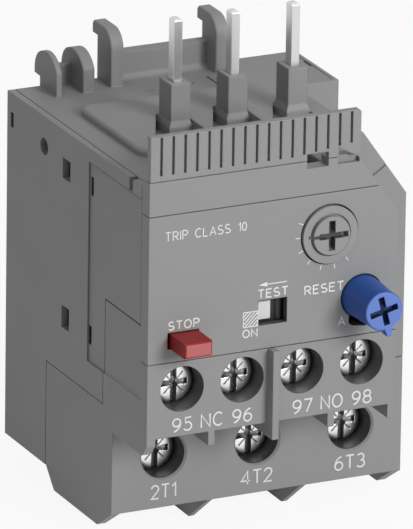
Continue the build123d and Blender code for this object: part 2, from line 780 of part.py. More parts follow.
# Trip lever: two equal arms on a pin
with BuildPart() as trip_lever:
    arm = (lever_x - lever_arm_w / 2, lever_x + lever_arm_w / 2)
    block(arm, bar_d, (bar_z[0], 2 * lever_z - bar_z[0]))
    rod(lever_x, lever_z, 1.9, bar_d)
    rod(lever_x, lever_z, pin_r + fit, (bar_d[0] - 1, bar_d[1] + 1), Mode.SUBTRACT)
finish(trip_lever, "trip_lever")

# Auxiliary circuit bars, from the cages to the fixed contacts
bar_span = (aux_bar_d, aux_bar_d + aux_bus_t)
bar_foot = 21.0
with BuildPart() as nc_bar_1:
    sides = (aux_poles[0] - aux_bar_w / 2, aux_poles[0] + aux_bar_w / 2)
    block(sides, bar_span, (bar_foot, main_seam_z + 1.1))
    block((1.6, sides[1]), bar_span, (main_seam_z + 0.1, main_seam_z + 1.1))
    block((1.6, 3.0), bar_span, (main_seam_z + 0.1, nc_z[1] + 1.0))
    rod(2.3, sum(nc_z) / 2, 0.7, (bar_span[1] - 0.1, bar_span[1] + 0.4))
finish(nc_bar_1, "nc_bar_1")
with BuildPart() as nc_bar_2:
    sides = (aux_poles[1] - aux_bar_w / 2, aux_poles[1] + aux_bar_w / 2)
    block(sides, bar_span, (bar_foot, main_seam_z + 1.1))
    block((aux_poles[1] - 0.7, aux_poles[1] + 0.7), bar_span, (main_seam_z + 1.0, nc_z[1] + 1.0))
    rod(aux_poles[1], sum(nc_z) / 2, 0.7, (bar_span[1] - 0.1, bar_span[1] + 0.4))
finish(nc_bar_2, "nc_bar_2")
no_face = 12.1
for number, x in enumerate(aux_poles[2:], 1):
    with BuildPart() as no_bar:
        block((x - aux_bar_w / 2, x + aux_bar_w / 2), bar_span, (bar_foot, 31.3))
        block((x - 1.4, x + 1.4), bar_span, (31.2, 32.9))
        block((x - 1.4, x + 1.4), (aux_bar_d, no_face + aux_bus_t), (32.9 - aux_bus_t, 32.9))
        block((x - 1.4, x + 1.4), (no_face, no_face + aux_bus_t), (no_z[0] + 0.1, 32.9))
    finish(no_bar, f"no_bar_{number}")

# Contact bridges and the carrier that moves them
nc_face = bar_span[1] + 0.4 + 0.03
with BuildPart() as nc_bridge:
    block((1.6, aux_poles[1] + 0.9), (nc_face, nc_face + 0.6), nc_z)
finish(nc_bridge, "nc_bridge")
no_bridge_d = no_face - carrier_travel - 0.03 - 0.6
with BuildPart() as no_bridge:
    block((aux_poles[2] - 1.4, aux_poles[3] + 1.4), (no_bridge_d, no_bridge_d + 0.6), no_z)
finish(no_bridge, "no_bridge")
carrier_d = (13.4, 15.4)
with BuildPart() as contact_carrier:
    post_x = (aux_poles[1] + 1.7, aux_poles[2] - 2.3)
    nc_x = (aux_poles[0] + 2.2, aux_poles[0] + 4.2)
    no_x = (aux_poles[3] - 6.1, aux_poles[3] - 2.9)
    block(post_x, carrier_d, (30.7, nc_z[1] + 2.0))
    block((nc_x[0], post_x[1]), carrier_d, (nc_z[0] - 0.2, nc_z[1] + 0.2))
    block(nc_x, (nc_face + 0.6, carrier_d[0] + 0.1), (nc_z[0] - 0.2, nc_z[1] + 0.2))
    block((post_x[0], no_x[1]), carrier_d, (30.7, 33.0))
    block(no_x, (no_bridge_d + 0.6, carrier_d[0] + 0.1), (30.7, 33.0))
finish(contact_carrier, "contact_carrier")

# Current setting dial: raised ring, hub with a cross slot, shaft and eccentric cam
with BuildPart() as current_dial:
    rod(dial_x, dial_z, dial_r, (-dial_proud, 1.15))
    rod(dial_x, dial_z, hub_r + 0.3, (-dial_proud - 1, -dial_proud + 0.35), Mode.SUBTRACT)
    rod(dial_x, dial_z, hub_r, (-dial_proud - hub_proud, 0))
    rod(dial_x, dial_z, dial_shaft_r, (1.0, 12.0))
    rod(dial_x + 0.9, dial_z, 3.4, (8.6, 11.0))
    # The slot's left arm runs out of the hub and points at the scale
    for slot_x, slot_z in (((-1.9, 2.5), 0.45), ((-3.4, 0), 0.24), ((-0.5, 0.5), 2.2)):
        block(
            (dial_x + slot_x[0], dial_x + slot_x[1]),
            (-dial_proud - hub_proud - 1, 0.3),
            (dial_z - slot_z, dial_z + slot_z),
            Mode.SUBTRACT,
        )
finish(current_dial, "current_dial")

# Reset knob: tapered, with a cross slot and a pointer, turning on the stem
with BuildPart() as reset_knob:
    with BuildSketch(Plane.XZ.offset(-behind(knob_sink))):
        with Locations((across(knob_x), knob_z)):
            Circle(knob_base_r)
    with BuildSketch(Plane.XZ.offset(-behind(-knob_proud))):
        with Locations((across(knob_x), knob_z)):
            Circle(knob_r)
    loft()
    chamfer(reset_knob.faces().sort_by(Axis.Y)[0].edges(), length=0.18)
    with BuildSketch(Plane.XZ.offset(-behind(-knob_proud))):
        with Locations(Location((across(knob_x), knob_z, 0), (0, 0, knob_turn))):
            tip = -knob_r - 1.0
            Polygon((-0.6, -2.0), (-0.36, tip), (0.36, tip), (0.6, -2.0), align=None)
    extrude(amount=-1.6)
    with Locations(Location((across(knob_x), behind(-knob_proud), knob_z), (0, -knob_turn, 0))):
        Box(4.3, 2.4, 0.9, mode=Mode.SUBTRACT)
        Box(0.9, 2.4, 4.3, mode=Mode.SUBTRACT)
    rod(knob_x, knob_z, spigot_r + fit, (-3.2, knob_sink + 1), Mode.SUBTRACT)
finish(reset_knob, "reset_knob")

with BuildPart() as reset_stem:
    rod(knob_x, knob_z, spigot_r, (-3.0, flange_back - 0.5))
    rod(knob_x, knob_z, flange_r, (flange_back - flange_t, flange_back))
    rod(knob_x, knob_z, stem_r, (flange_back - 0.1, bracket_front + 0.5))
finish(reset_stem, "reset_stem")

# Spring with so many turns that it isn't solid when the knob is pressed home
with BuildPart() as reset_spring:
    helix_height = spring_length - spring_wire
    spring_turns = int((spring_length - reset_travel) / spring_wire) - 1
    spring_r = stem_r + spring_wire / 2 + 0.3
    rise = helix_height / spring_turns
    with BuildLine():
        Helix(pitch=rise, height=helix_height, radius=spring_r)
    with BuildSketch(Plane(origin=(spring_r, 0, 0), z_dir=(0, 1, rise / (2 * pi * spring_r)))):
        Rectangle(spring_wire, spring_wire)
    sweep(is_frenet=True)
spring_foot = behind(flange_back + 0.1 + spring_wire / 2)
spring_place = Location((across(knob_x), spring_foot, knob_z), (-90, 0, 0))
reset_spring.part = reset_spring.part.moved(spring_place)
finish(reset_spring, "reset_spring")

# Stop button with a shoulder behind the plate
button_w, button_h = stop_hole[0] - 2 * slide_fit - 0.1, stop_hole[1] - 2 * slide_fit
with BuildPart() as stop_button:
    sides = (stop_x - button_w / 2, stop_x + button_w / 2)
    block(
        sides,
        (-stop_proud, aux_bar_d - stop_travel - 0.2),
        (stop_z - button_h / 2, stop_z + button_h / 2),
    )
    chamfer(stop_button.faces().sort_by(Axis.Y)[0].edges(), length=0.3)
    block(
        (stop_x - button_w / 2 - 0.6, stop_x + button_w / 2 + 0.6),
        (plate_t + slide_fit, plate_t + 1.0),
        (stop_z - button_h / 2 - 0.5, stop_z + button_h / 2 + 0.5),
    )
finish(stop_button, "stop_button")

# Test slider behind its window, with a thumb ridge and the flag that shows the state
with BuildPart() as test_slider:
    block((window_x[0] - 1.1, window_x[1] + test_travel + 0.2), slider_d, slider_z)
    with Locations((across(window_x[1] - 0.61), behind(slider_d[0] + 0.35), sum(window_z) / 2)):
        Cylinder(0.75, window_z[1] - window_z[0] - 0.3)
finish(test_slider, "test_slider")
with BuildPart() as test_flag:
    block(
        (window_x[0] - 1.0, window_x[0] + 2.45),
        (window_wall + 0.1, slider_d[0]),
        (window_z[0] + 0.43, window_z[1] - 0.65),
    )
finish(test_flag, "test_flag")
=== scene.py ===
# %% [markdown]
# # A thermal overload relay
# The relay's solids come from the CAD source and are loaded as a fixed frame. This
# notebook gives them a camera, light and finishes, and adds what a solid modeller has no
# use for: turned screws, a wound spring and the small printed marks. Everything is in
# metres, with +X to the right, +Y to the back and +Z up.

# %% Load the frame
import bpy
import json
import numpy as np
from math import cos, pi, radians, sin
from mathutils import Matrix, Vector


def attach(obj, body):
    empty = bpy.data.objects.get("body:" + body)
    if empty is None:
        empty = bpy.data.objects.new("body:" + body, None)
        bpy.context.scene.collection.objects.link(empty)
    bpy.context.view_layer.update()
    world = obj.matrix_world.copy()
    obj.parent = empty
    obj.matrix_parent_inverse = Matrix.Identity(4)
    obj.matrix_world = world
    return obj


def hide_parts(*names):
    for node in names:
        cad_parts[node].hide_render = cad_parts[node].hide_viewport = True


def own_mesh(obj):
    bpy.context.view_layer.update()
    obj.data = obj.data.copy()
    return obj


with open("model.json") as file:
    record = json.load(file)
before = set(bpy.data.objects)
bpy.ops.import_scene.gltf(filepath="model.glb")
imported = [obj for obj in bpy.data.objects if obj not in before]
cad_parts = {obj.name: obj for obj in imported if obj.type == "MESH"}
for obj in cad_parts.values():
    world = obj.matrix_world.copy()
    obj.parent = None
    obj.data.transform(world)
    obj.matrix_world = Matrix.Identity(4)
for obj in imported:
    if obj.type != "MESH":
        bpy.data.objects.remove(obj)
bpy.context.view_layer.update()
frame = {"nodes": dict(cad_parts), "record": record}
mm = 0.001
nodes = frame["nodes"]

# %% [markdown]
# ## Where things are
# The CAD source counts x from the left side, d behind the front face and z above the
# base, all in millimetres. One small function brings such a place into the frame, so
# that a mark can be put where a ruler on the real relay would find it. It also takes
# whole arrays, which is how every new mesh below is placed.

# %% Places on the relay
half_width = 22.5
front_y = -21.05


def place(x, d, z):
    """Frame points in metres of places x from the left, d behind the front, z up."""
    return np.stack(np.broadcast_arrays(x - half_width, front_y + d, z), -1) * mm


print("front left corner of the base:", place(0, 0, 0))

# %% [markdown]
# ## The camera
# Product photographs are taken from far away with a long lens, so that edges stay
# nearly parallel. Here the direction, the distance and the focal length come from a fit
# of the relay's own corners. The picture's centre isn't quite on the lens axis, and
# instead of shifting the lens the camera is turned by that small angle.

# %% Aim the camera
picture_height, focal_px, sensor_mm = 529, 10068.8, 36.0
azimuth, elevation, roll = radians(-25.73), radians(19.654), radians(0.883)
distance = 1415.9 * mm
turn_right, turn_down = 10.85 / focal_px, 2.75 / focal_px
target = Vector((0.0, 3.95, 33.57)) * mm

back = Vector((sin(azimuth) * cos(elevation), -cos(azimuth) * cos(elevation), sin(elevation)))
right = Vector((cos(azimuth), sin(azimuth), 0.0))
up = back.cross(right)
right, up = cos(roll) * right + sin(roll) * up, cos(roll) * up - sin(roll) * right
eye = target + distance * back
back = (back + right * turn_right - up * turn_down).normalized()
right = (right - back * right.dot(back)).normalized()
up = back.cross(right)

camera_data = bpy.data.cameras.new("camera")
camera_data.sensor_width = sensor_mm
camera_data.lens = focal_px * sensor_mm / picture_height
camera = bpy.data.objects.new("camera", camera_data)
columns = [(*axis, 0) for axis in (right, up, back)] + [(*eye, 1)]
camera.matrix_world = Matrix(columns).transposed()
scene = bpy.context.scene
scene.collection.objects.link(camera)
scene.camera = camera
print("lens in millimetres:", round(camera_data.lens, 1))

# %% [markdown]
# ## Building with nodes
# Light and finishes are both made of shader nodes. A few helpers keep them readable: one
# makes a node and fills its inputs, with plain values or with the outputs of earlier
# nodes, and others do the same for a single step of arithmetic on numbers or vectors.


# %% Helpers for shader nodes
def node(tree, kind, inputs=None, **settings):
    """New node: its settings by name, its inputs by key as values or output sockets."""
    made = tree.nodes.new(kind)
    for key, value in settings.items():
        setattr(made, key, value)
    for key, value in (inputs or {}).items():
        if isinstance(value, bpy.types.NodeSocket):
            tree.links.new(value, made.inputs[key])
        else:
            made.inputs[key].default_value = value
    return made


def scalar(tree, operation, *terms):
    """Output of one Math node whose inputs are the terms, values or sockets."""
    return node(tree, "ShaderNodeMath", dict(enumerate(terms)), operation=operation).outputs[0]


def vector(tree, operation, *terms):
    """Output of one Vector Math node whose inputs are the terms, values or sockets."""
    inputs = dict(enumerate(terms))
    return node(tree, "ShaderNodeVectorMath", inputs, operation=operation).outputs[0]


def times(tree, colour, factor):
    """A colour or vector multiplied by a number that changes over the surface."""
    inputs = {0: colour, "Scale": factor}
    return node(tree, "ShaderNodeVectorMath", inputs, operation="SCALE").outputs[0]


print("helpers:", [f.__name__ for f in (node, scalar, vector, times)])

# %% [markdown]
# ## Light and background
# The relay stands on white. Lamps strong enough to burn a grey floor out to white would
# burn the relay too, so the floor and the world only look white to the camera. Soft
# shadow needs a dim world, but bare metal needs a bright one to mirror, so the world
# has three strengths: one for the fill, one for reflections and one for the camera. The
# front faces are lightest and the left side is darkest, so the large soft lamp stands in
# front, a little to the right.

# %% Set the world's three strengths
scene.view_settings.view_transform = "Standard"
world = bpy.data.worlds.new("studio")
scene.world = world
world.use_nodes = True
tree = world.node_tree
tree.nodes.clear()
rays = node(tree, "ShaderNodeLightPath")
shown = None
for strength, ray in ((0.15, None), (0.9, "Is Glossy Ray"), (1.0, "Is Camera Ray")):
    light = {"Strength": strength, "Color": (1, 1, 1, 1)}
    backdrop = node(tree, "ShaderNodeBackground", light).outputs[0]
    if ray:
        either = {"Fac": rays.outputs[ray], 1: shown, 2: backdrop}
        backdrop = node(tree, "ShaderNodeMixShader", either).outputs[0]
    shown = backdrop
node(tree, "ShaderNodeOutputWorld", {0: shown})
print("world nodes:", len(tree.nodes))

# %% [markdown]
# Three square lamps do the rest. The key lamp is over four times as wide as the relay is
# tall, which gives its shadow a soft edge. The one above is wider still and opens up the
# top faces, and a weak one on the left keeps the dark side from going black.


# %% Hang the lamps
def lamp(name, where, size, power):
    """Square soft lamp at a point in metres, turned towards the relay, power in watts."""
    light = bpy.data.lights.new(name, "AREA")
    light.size = size
    light.energy = power
    obj = bpy.data.objects.new(name, light)
    obj.location = where
    obj.rotation_euler = (target - Vector(where)).to_track_quat("-Z", "Y").to_euler()
    scene.collection.objects.link(obj)
    print(name, "lamp:", power, "W")


lamp("key", (0.25, -0.75, 0.37), size=0.32, power=5.1)
lamp("top", (-0.05, -0.15, 0.8), size=0.6, power=1.45)
lamp("rim", (-0.7, 0.1, 0.3), size=0.5, power=0.1)

# %% [markdown]
# ## Floor
# The floor is pale paper that catches the relay's shadow. Seen by the camera, or
# mirrored in metal, it is mostly a plain white glow, and the rest is the lit paper, so
# that the shadow stays and the paper's grey doesn't.

# %% Lay the floor
floor_half, paper_tone, white_part = 2.0, 0.82, 0.92
corners = [(-1, -1), (1, -1), (1, 1), (-1, 1)]
floor_mesh = bpy.data.meshes.new("floor")
floor_mesh.from_pydata([(u * floor_half, v * floor_half, 0) for u, v in corners], [], [(0, 1, 2, 3)])
floor = bpy.data.objects.new("floor", floor_mesh)
scene.collection.objects.link(floor)

paper = bpy.data.materials.new("white paper")
paper.use_nodes = True
floor_mesh.materials.append(paper)
tree = paper.node_tree
shader = tree.nodes["Principled BSDF"]
shader.inputs["Base Color"].default_value = (paper_tone, paper_tone, paper_tone, 1)
shader.inputs["Roughness"].default_value = 0.9
shader.inputs["Specular IOR Level"].default_value = 0.1
rays = node(tree, "ShaderNodeLightPath")
seen = scalar(tree, "MAXIMUM", rays.outputs["Is Camera Ray"], rays.outputs["Is Glossy Ray"])
share = scalar(tree, "MULTIPLY", seen, white_part)
glow = node(tree, "ShaderNodeEmission")
mixed = node(tree, "ShaderNodeMixShader", {"Fac": share, 1: shader.outputs[0], 2: glow.outputs[0]})
tree.links.new(mixed.outputs[0], tree.nodes["Material Output"].inputs["Surface"])
print("floor half side in metres:", floor_half)

# %% [markdown]
# ## Shared effects
# Moulded plastic is never one flat colour: the mould leaves a fine grain, and every
# edge is slightly round and catches light. Rolled and turned metal has fine lines. Such
# effects are needed in several materials, so each is a node group with named inputs,
# built once. Patterns read Object coordinates, which stay with a piece as a joint moves it.


# %% Mould grain
def node_group(name, inputs, numbers, directions=()):
    """Empty shader group with inputs {name: default}, and its input sockets."""
    group = bpy.data.node_groups.new(name, "ShaderNodeTree")
    new_socket = group.interface.new_socket
    for label, default in inputs.items():
        kind = "NodeSocketVector" if isinstance(default, tuple) else "NodeSocketFloat"
        new_socket(label, in_out="INPUT", socket_type=kind).default_value = default
    for label in numbers:
        new_socket(label, in_out="OUTPUT", socket_type="NodeSocketFloat")
    for label in directions:
        new_socket(label, in_out="OUTPUT", socket_type="NodeSocketVector")
    return group, group.nodes.new("NodeGroupInput").outputs


def place_on(tree):
    """Place on the piece in Object coordinates, in metres."""
    return node(tree, "ShaderNodeTexCoord").outputs["Object"]


def grain_group():
    """Fine mould grain and slow mottling: a height, and tone and roughness changes.

    The fine noise has 1 / Grain Size waves in a millimetre. The slow noise n gives the
    tone 1 + Mottle (n - 0.5) and the roughness change Rough Change (n - 0.5).
    """
    inputs = {"Grain Size": 0.25, "Mottle": 0.03, "Rough Change": 0.10}
    group, given = node_group("mould grain", inputs, ["Height", "Tone", "Rough"])
    where = place_on(group)
    per_metre = scalar(group, "DIVIDE", 1 / mm, given["Grain Size"])
    fine = {"Vector": where, "Scale": per_metre, "Detail": 2.0, "Roughness": 0.6}
    slow = {"Vector": where, "Scale": 160.0, "Detail": 3.0, "Roughness": 0.55}
    height = node(group, "ShaderNodeTexNoise", fine).outputs[0]
    mottling = node(group, "ShaderNodeTexNoise", slow).outputs[0]
    centred = scalar(group, "SUBTRACT", mottling, 0.5)
    tone = scalar(group, "MULTIPLY_ADD", centred, given["Mottle"], 1.0)
    rough = scalar(group, "MULTIPLY", centred, given["Rough Change"])
    node(group, "NodeGroupOutput", {"Height": height, "Tone": tone, "Rough": rough})
    return group


grain = grain_group()
print("group:", grain.name)

# %% [markdown]
# An edge of a moulding has a radius of a few tenths of a millimetre. Cutting it into every
# solid would cost thousands of faces, so the Bevel node bends the normal there instead.
# Where the bent normal leaves the real one, there is an edge, and that is also the mask.


# %% Soft edges
def edge_group():
    """Rounded edges: the softened normal, and a mask that is 1 on sharp edges."""
    group, given = node_group("soft edges", {"Radius": 0.2 * mm}, ["Edge"], ["Normal"])
    bevel = node(group, "ShaderNodeBevel", {"Radius": given["Radius"]}, samples=6).outputs[0]
    plain = node(group, "ShaderNodeNewGeometry").outputs["Normal"]
    match = node(group, "ShaderNodeVectorMath", {0: bevel, 1: plain}, operation="DOT_PRODUCT")
    limits = {"Value": match.outputs["Value"], "From Min": 0.995, "From Max": 0.8}
    mask = node(group, "ShaderNodeMapRange", limits).outputs[0]
    node(group, "NodeGroupOutput", {"Normal": bevel, "Edge": mask})
    return group


edges = edge_group()
print("group:", edges.name)

# %% [markdown]
# Sheet metal keeps lines from the rolls, and a turned or drawn piece keeps them from its
# tool. They are noise that is squeezed across the lines and stretched along them.


# %% Drawn lines on metal
def drawn_group():
    """Lines of rolling or turning along Z: noise squeezed across, stretched along."""
    inputs = {"Across": 9000.0, "Along": 400.0}
    group, given = node_group("drawn lines", inputs, ["Height", "Rough"])
    waves = {"X": given["Across"], "Y": given["Across"], "Z": given["Along"]}
    stretch = node(group, "ShaderNodeCombineXYZ", waves).outputs[0]
    scaled = vector(group, "MULTIPLY", place_on(group), stretch)
    noise = {"Vector": scaled, "Scale": 1.0, "Detail": 3.0, "Roughness": 0.65}
    lines = node(group, "ShaderNodeTexNoise", noise).outputs[0]
    limits = {"Value": lines, "To Min": -0.07, "To Max": 0.09}
    change = node(group, "ShaderNodeMapRange", limits).outputs[0]
    node(group, "NodeGroupOutput", {"Height": lines, "Rough": change})
    return group


drawn = drawn_group()
print("group:", drawn.name)

# %% [markdown]
# ## Dark openings
# The walls of a deep hole hardly see the lamps. The photo shows them almost black, with
# hard edges where the front face begins, so shade is painted into their colour. Two masks
# say where the openings are: one for a row of round holes along X, folded into a single
# hole by a ping-pong of the distance, and one for a box between the corners Low and High.


# %% Masks for holes and openings
def hole_group():
    """Mask of a row of holes: 1 where the axis of the nearest one is within Radius."""
    inputs = {"First X": 0.0, "Height Z": 0.0, "Pitch": 0.0, "Radius": 0.0}
    group, given = node_group("screw holes", inputs, ["Inside"])
    axes = node(group, "ShaderNodeSeparateXYZ", {0: place_on(group)}).outputs
    along = scalar(group, "SUBTRACT", axes["X"], given["First X"])
    up_by = scalar(group, "SUBTRACT", axes["Z"], given["Height Z"])
    half_pitch = scalar(group, "MULTIPLY", given["Pitch"], 0.5)
    nearest = scalar(group, "PINGPONG", along, half_pitch)
    offset = node(group, "ShaderNodeCombineXYZ", {"X": nearest, "Z": up_by}).outputs[0]
    reach = node(group, "ShaderNodeVectorMath", {0: offset}, operation="LENGTH").outputs["Value"]
    inside = scalar(group, "LESS_THAN", reach, given["Radius"])
    node(group, "NodeGroupOutput", {"Inside": inside})
    return group


def room_group():
    """Mask that is 1 in a box and falls to 0 over its last tenth of a millimetre."""
    inputs = {"Low": (0, 0, 0), "High": (0, 0, 0)}
    group, given = node_group("openings", inputs, ["Inside"])
    where = place_on(group)
    over = vector(group, "SUBTRACT", where, given["Low"])
    under = vector(group, "SUBTRACT", given["High"], where)
    least = vector(group, "MINIMUM", over, under)
    axes = node(group, "ShaderNodeSeparateXYZ", {0: least}).outputs
    nearer = scalar(group, "MINIMUM", axes[0], axes[1])
    nearest = scalar(group, "MINIMUM", nearer, axes[2])
    inside = node(group, "ShaderNodeMapRange", {"Value": nearest, "From Max": 0.1 * mm})
    node(group, "NodeGroupOutput", {"Inside": inside.outputs[0]})
    return group


holes = hole_group()
room = room_group()
print("groups:", holes.name, "and", room.name)

# %% [markdown]
# ## Materials
# A finish is a recipe: a base colour that the grain varies a little and that the edge mask
# lightens a little as a painted highlight on edges, a roughness that varies with the
# mottling, and a bump from the grain. Writing the recipe as two functions, one for
# plastics and one for metals, keeps each material to one line.


# %% Recipe for plastic
def linear(colour):
    """Scene-linear value of an sRGB colour given from 0 to 1."""
    c = np.array(colour, float)
    return tuple(np.where(c <= 0.04045, c / 12.92, ((c + 0.055) / 1.055) ** 2.4))


def new_material(name):
    """Empty material with nodes: itself, its tree and its shader's inputs."""
    material = bpy.data.materials.new(name)
    material.use_nodes = True
    tree = material.node_tree
    return material, tree, tree.nodes["Principled BSDF"].inputs


def relief(tree, strength, distance, height, normal):
    """Normal of a bump from a height in the range 0 to 1, on top of another normal."""
    inputs = {"Strength": strength, "Distance": distance, "Height": height, "Normal": normal}
    return node(tree, "ShaderNodeBump", inputs).outputs[0]


def plastic(
    name, colour, rough=0.5, size=0.25, bump=0.12, edge=0.2, edge_highlight=0.10, face=None, rows=(), rooms=()
):
    """Moulded plastic: colour times mottling, lighter on edges, fine grain in the bump.

    With face = (colour, d), the end face at depth d has its own paler colour, a painted
    highlight. Each of rows = (first x, z, pitch, radius, tone) is a row of holes and each of
    rooms = (x range, d range, z range, tone) is a box: their walls have the colour times
    tone, painted shade where tone is below 1 and painted light where it is above 1.
    """
    material, tree, shader = new_material(name)
    texture = node(tree, "ShaderNodeGroup", {"Grain Size": size}, node_tree=grain).outputs
    rounding = node(tree, "ShaderNodeGroup", {"Radius": edge * mm}, node_tree=edges).outputs
    # Painted highlight: the edge mask makes the colour lighter on edges.
    lift = scalar(tree, "MULTIPLY_ADD", rounding["Edge"], edge_highlight, texture["Tone"])
    tint = times(tree, linear(colour), lift)
    masks = []
    for first, z, pitch, radius, tone in rows:
        x, _, height = place(first, 0, z)
        sizes = {"First X": x, "Height Z": height, "Pitch": pitch * mm, "Radius": radius * mm}
        masks.append((node(tree, "ShaderNodeGroup", sizes, node_tree=holes), tone))
    for x, d, z, tone in rooms:
        limits = {"Low": place(x[0], d[0], z[0]), "High": place(x[1], d[1], z[1])}
        masks.append((node(tree, "ShaderNodeGroup", limits, node_tree=room), tone))
    for mask, tone in masks:
        limits = {"Value": mask.outputs["Inside"], "To Min": 1.0, "To Max": tone}
        tint = times(tree, tint, node(tree, "ShaderNodeMapRange", limits).outputs[0])
    if face:
        # The painted highlight's paler colour comes in between 0.12 and 0.02 mm behind the end face
        face_colour, face_d = face
        depth = node(tree, "ShaderNodeSeparateXYZ", {0: place_on(tree)}).outputs["Y"]
        end_y = (front_y + face_d) * mm
        limits = {"Value": depth, "From Min": end_y + 0.12 * mm, "From Max": end_y + 0.02 * mm}
        on_face = node(tree, "ShaderNodeMapRange", limits).outputs[0]
        highlight_tint = times(tree, linear(face_colour), texture["Tone"])
        either = {"Factor": on_face, 4: tint, 5: highlight_tint}
        tint = node(tree, "ShaderNodeMix", either, data_type="VECTOR").outputs[1]
    tree.links.new(tint, shader["Base Color"])
    tree.links.new(scalar(tree, "ADD", texture["Rough"], rough), shader["Roughness"])
    bumped = relief(tree, bump, 0.02 * mm, texture["Height"], rounding["Normal"])
    tree.links.new(bumped, shader["Normal"])
    shader["Specular IOR Level"].default_value = 0.4
    return material


print("plastic is mixed from:", [group.name for group in (grain, edges, holes, room)])

# %% [markdown]
# Metal shows what it mirrors, tinted by its own colour, so its recipe is shorter. The
# drawn lines vary its roughness, a little also its colour, and make the bump.


# %% Recipe for metal
def metal(name, colour, rough=0.3, bump=0.15):
    """Bare or plated metal: full metallic, with drawn lines in bump and roughness."""
    material, tree, shader = new_material(name)
    shader["Metallic"].default_value = 1.0
    texture = node(tree, "ShaderNodeGroup", node_tree=drawn).outputs
    rounding = node(tree, "ShaderNodeGroup", {"Radius": 0.12 * mm}, node_tree=edges).outputs
    lift = scalar(tree, "MULTIPLY_ADD", texture["Rough"], 0.12, 1.0)
    tree.links.new(times(tree, linear(colour), lift), shader["Base Color"])
    tree.links.new(scalar(tree, "ADD", texture["Rough"], rough), shader["Roughness"])
    bumped = relief(tree, bump, 0.01 * mm, texture["Height"], rounding["Normal"])
    tree.links.new(bumped, shader["Normal"])
    return material


print("metal is mixed from:", [group.name for group in (drawn, edges)])

# %% [markdown]
# ## Finishes
# Every material slot of the record gets its finish. The case is one mid grey. The blue
# knob and the red button have end faces painted paler as a painted highlight, and the
# cross slots of knob and dial have painted shade inside. Screws are nickel plated, and
# the blades are copper with bright tin.

# %% Mix the finishes
case_colour = (0.565, 0.565, 0.565)
case = {"rough": 0.55, "edge": 0.16, "edge_highlight": 0.04}
shade = 0.28
# Painted shade: the cross slots of dial and knob get a darker colour.
dial_x, dial_z = 27.6, 45.95
dial_slot = ((dial_x - 2, dial_x + 2), (-0.8, 3.0), (dial_z - 2, dial_z + 2), shade)
knob_x, knob_z = 32.8, 36.15
knob_slot = ((knob_x - 2, knob_x + 2), (-6.95, -4.5), (knob_z - 2, knob_z + 2), shade)
# Painted highlight: the end faces of knob and button get a paler colour of their own.
knob_end_highlight = ((0.39, 0.50, 0.78), -7.0)
button_end_highlight = ((0.71, 0.39, 0.40), -4.9)
finishes = {
    "case_grey": plastic("case grey", case_colour, **case),
    "inner_plastic": plastic("inner white", (0.82, 0.82, 0.79)),
    # The slider is black; the reset stem in its recess gets the same black as painted shade.
    "black_plastic": plastic("slider and stem black", (0.16, 0.16, 0.165), rough=0.4, bump=0.05),
    "white_flag": plastic("flag white", (0.86, 0.86, 0.87), bump=0.05),
    "dial_grey": plastic(
        "dial grey", (0.575, 0.575, 0.575), rough=0.45, edge=0.10, edge_highlight=0.03, rooms=[dial_slot]
    ),
    "red_button": plastic("button red", (0.54, 0.04, 0.05), bump=0.05, edge_highlight=0.0, face=button_end_highlight),
    "blue_knob": plastic(
        "knob blue", (0.09, 0.30, 0.62), rough=0.42, bump=0.05, edge_highlight=0.0,
        face=knob_end_highlight, rooms=[knob_slot],
    ),
    "nickel": metal("nickel plate", (0.98, 0.98, 0.98), rough=0.28, bump=0.02),
    "tinned_copper": metal("bright tin", (0.84, 0.84, 0.84), rough=0.30, bump=0.05),
    "zinc_steel": metal("zinc plate", (0.66, 0.67, 0.69), rough=0.38),
    "brass": metal("rolled brass", (0.80, 0.66, 0.38), rough=0.32),
    "bimetal": metal("bimetal strip", (0.62, 0.60, 0.58), rough=0.35),
    "heater_winding": plastic("glass sleeve", (0.80, 0.76, 0.66), rough=0.8, size=0.4, bump=0.4),
    "spring_steel": metal("spring wire", (0.60, 0.60, 0.62)),
}
slot_of = {row["node"]: row["material_slot"] for row in frame["record"]["subparts"]}
for name, obj in nodes.items():
    obj.data.materials.clear()
    obj.data.materials.append(finishes[slot_of[name]])
print("finishes:", len(finishes), "on", len(nodes), "nodes")
